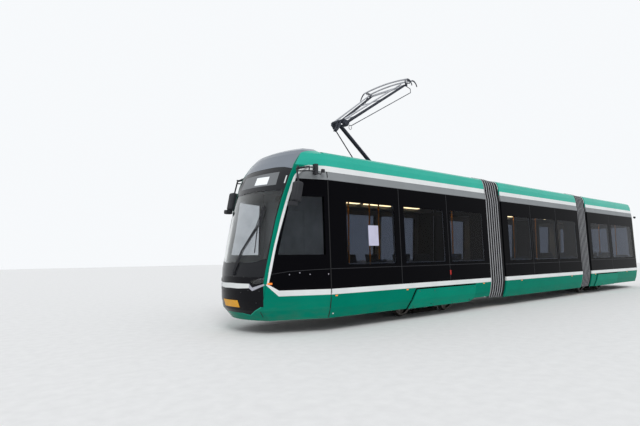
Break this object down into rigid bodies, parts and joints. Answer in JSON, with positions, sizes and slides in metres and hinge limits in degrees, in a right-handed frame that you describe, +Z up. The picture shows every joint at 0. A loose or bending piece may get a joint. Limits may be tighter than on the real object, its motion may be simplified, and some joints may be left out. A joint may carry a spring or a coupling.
{
  "type": "three-section low-floor articulated tram",
  "caption": "Articulated low-floor tram of three hinged cars on two bogies, with bellows, side doors on one flank and a raised single-arm pantograph.",
  "frame": {"origin": "below the middle of the vehicle, at the lowest point of the wheel flanges", "axes": "+X from nose to tail, +Y to the side with the doors (the driver's right), +Z up"},
  "size_m": [19.3247, 2.4396, 5.6998],
  "materials": {
    "body_green": "gloss green paint",
    "black_band": "glossy black bonded glass and panels",
    "window_glass": "lightly tinted safety glass",
    "windscreen_glass": "clear laminated windscreen",
    "roof_grey": "satin grey roof paint",
    "dome_grey": "glossy dark grey moulding",
    "underframe": "dark grey floor and underframe",
    "interior_grey": "light grey interior panels",
    "interior_dark": "dark grained console",
    "seat_shell": "moulded seat shells with dark covers",
    "handrail_yellow": "orange-yellow powder coat",
    "display_black": "matt black display housing",
    "lamp_glass": "clear lamp lenses",
    "tail_lamp_red": "red lamp lenses",
    "mirror_black": "grained black moulding",
    "pantograph_steel": "weathered bare metal tube",
    "pantograph_dark": "dark painted tube",
    "bellows_rubber": "folded grey coated fabric with black edges",
    "bogie_paint": "dark dusty frame paint",
    "wheel_steel": "rolled wheel steel"
  },
  "bodies": {
    "middle_car": {"middle_floor": "underframe", "middle_walls": "black_band", "middle_end_frames": "interior_grey", "middle_windows": "window_glass", "middle_doors": "black_band", "middle_skirts": "body_green", "middle_roof": "roof_grey", "middle_shrouds": "body_green", "middle_seats": "seat_shell", "middle_handrails": "handrail_yellow", "gangway_floors": "underframe", "front_bellows": "bellows_rubber", "rear_bellows": "bellows_rubber"},
    "front_car": {"front_floor": "underframe", "front_bogie_tub": "underframe", "front_walls": "black_band", "front_end_frame": "interior_grey", "front_windows": "window_glass", "front_doors": "black_band", "front_skirts": "body_green", "front_roof": "roof_grey", "front_shrouds": "body_green", "front_seats": "seat_shell", "front_handrails": "handrail_yellow", "windscreen": "windscreen_glass", "front_mask": "black_band", "front_bumper": "body_green", "cab_sides": "black_band", "roof_dome": "dome_grey", "headlights": "lamp_glass", "destination_display": "display_black", "driver_desk": "interior_dark", "cab_partition": "interior_grey", "mirrors": "mirror_black", "wiper": "mirror_black", "pantograph_base": "pantograph_steel"},
    "rear_car": {"rear_floor": "underframe", "rear_walls": "black_band", "rear_end_frame": "interior_grey", "rear_windows": "window_glass", "rear_doors": "black_band", "rear_skirts": "body_green", "rear_roof": "roof_grey", "rear_shrouds": "body_green", "rear_seats": "seat_shell", "rear_handrails": "handrail_yellow", "tail_panel": "black_band", "tail_lamps": "tail_lamp_red"},
    "front_bogie": {"front_bogie_frame": "bogie_paint"},
    "rear_bogie": {"rear_bogie_frame": "bogie_paint"},
    "front_bogie_leading_wheelset": {"front_bogie_leading_wheelset": "wheel_steel"},
    "front_bogie_trailing_wheelset": {"front_bogie_trailing_wheelset": "wheel_steel"},
    "rear_bogie_leading_wheelset": {"rear_bogie_leading_wheelset": "wheel_steel"},
    "rear_bogie_trailing_wheelset": {"rear_bogie_trailing_wheelset": "wheel_steel"},
    "cab_door": {"cab_door": "interior_grey"},
    "pantograph_lower_arm": {"pantograph_lower_arm": "pantograph_dark"},
    "pantograph_upper_arm": {"pantograph_upper_arm": "pantograph_steel", "pantograph_levelling_rod": "pantograph_dark"},
    "pantograph_control_rod": {"pantograph_control_rod": "pantograph_dark"},
    "pantograph_head": {"pantograph_head": "pantograph_steel"}
  },
  "joints": [
    {"name": "front_articulation", "type": "hinge", "parent": "middle_car", "child": "front_car", "pos_m": [-2.095, 0, 0.3], "axis": [0, 0, 1], "range_deg": [-20, 20], "deforming": ["front_bellows"]},
    {"name": "rear_articulation", "type": "hinge", "parent": "middle_car", "child": "rear_car", "pos_m": [3.845, 0, 0.3], "axis": [0, 0, 1], "range_deg": [-20, 20], "deforming": ["rear_bellows"]},
    {"name": "front_bogie_swivel", "type": "hinge", "parent": "front_car", "child": "front_bogie", "pos_m": [-4.495, 0, 0.305], "axis": [0, 0, 1], "range_deg": [-4, 4]},
    {"name": "front_bogie_leading_wheel_spin", "type": "hinge", "parent": "front_bogie", "child": "front_bogie_leading_wheelset", "pos_m": [-5.37, 0, 0.305], "axis": [0, 1, 0], "continuous": true},
    {"name": "front_bogie_trailing_wheel_spin", "type": "hinge", "parent": "front_bogie", "child": "front_bogie_trailing_wheelset", "pos_m": [-3.62, 0, 0.305], "axis": [0, 1, 0], "continuous": true},
    {"name": "rear_bogie_swivel", "type": "hinge", "parent": "rear_car", "child": "rear_bogie", "pos_m": [5.655, 0, 0.305], "axis": [0, 0, 1], "range_deg": [-4, 4]},
    {"name": "rear_bogie_leading_wheel_spin", "type": "hinge", "parent": "rear_bogie", "child": "rear_bogie_leading_wheelset", "pos_m": [4.78, 0, 0.305], "axis": [0, 1, 0], "continuous": true},
    {"name": "rear_bogie_trailing_wheel_spin", "type": "hinge", "parent": "rear_bogie", "child": "rear_bogie_trailing_wheelset", "pos_m": [6.53, 0, 0.305], "axis": [0, 1, 0], "continuous": true},
    {"name": "cab_door_hinge", "type": "hinge", "parent": "front_car", "child": "cab_door", "pos_m": [-8.082, -0.33, 1.4], "axis": [0, 0, -1], "range_deg": [0, 90]},
    {"name": "pantograph_raise", "type": "hinge", "parent": "front_car", "child": "pantograph_lower_arm", "pos_m": [-5.395, 0, 3.4], "axis": [0, 1, 0], "range_deg": [-33, 8]},
    {"name": "pantograph_knee", "type": "hinge", "parent": "pantograph_lower_arm", "child": "pantograph_upper_arm", "pos_m": [-6.765, 0, 4.42], "axis": [0, 1, 0], "range_deg": [-17, 67]},
    {"name": "pantograph_head_level", "type": "hinge", "parent": "pantograph_upper_arm", "child": "pantograph_head", "pos_m": [-5.085, 0, 5.6], "axis": [0, 1, 0], "range_deg": [-34, 9]},
    {"name": "pantograph_control_rod_swing", "type": "hinge", "parent": "front_car", "child": "pantograph_control_rod", "pos_m": [-6.125, 0, 3.35], "axis": [0, 1, 0], "range_deg": [-42, 11]}
  ],
  "couplings": [
    {"joint": "pantograph_knee", "follows": "pantograph_raise", "ratio": -1.98},
    {"joint": "pantograph_head_level", "follows": "pantograph_raise", "ratio": 0.98},
    {"joint": "pantograph_control_rod_swing", "follows": "pantograph_raise", "ratio": 1.24}
  ]
}
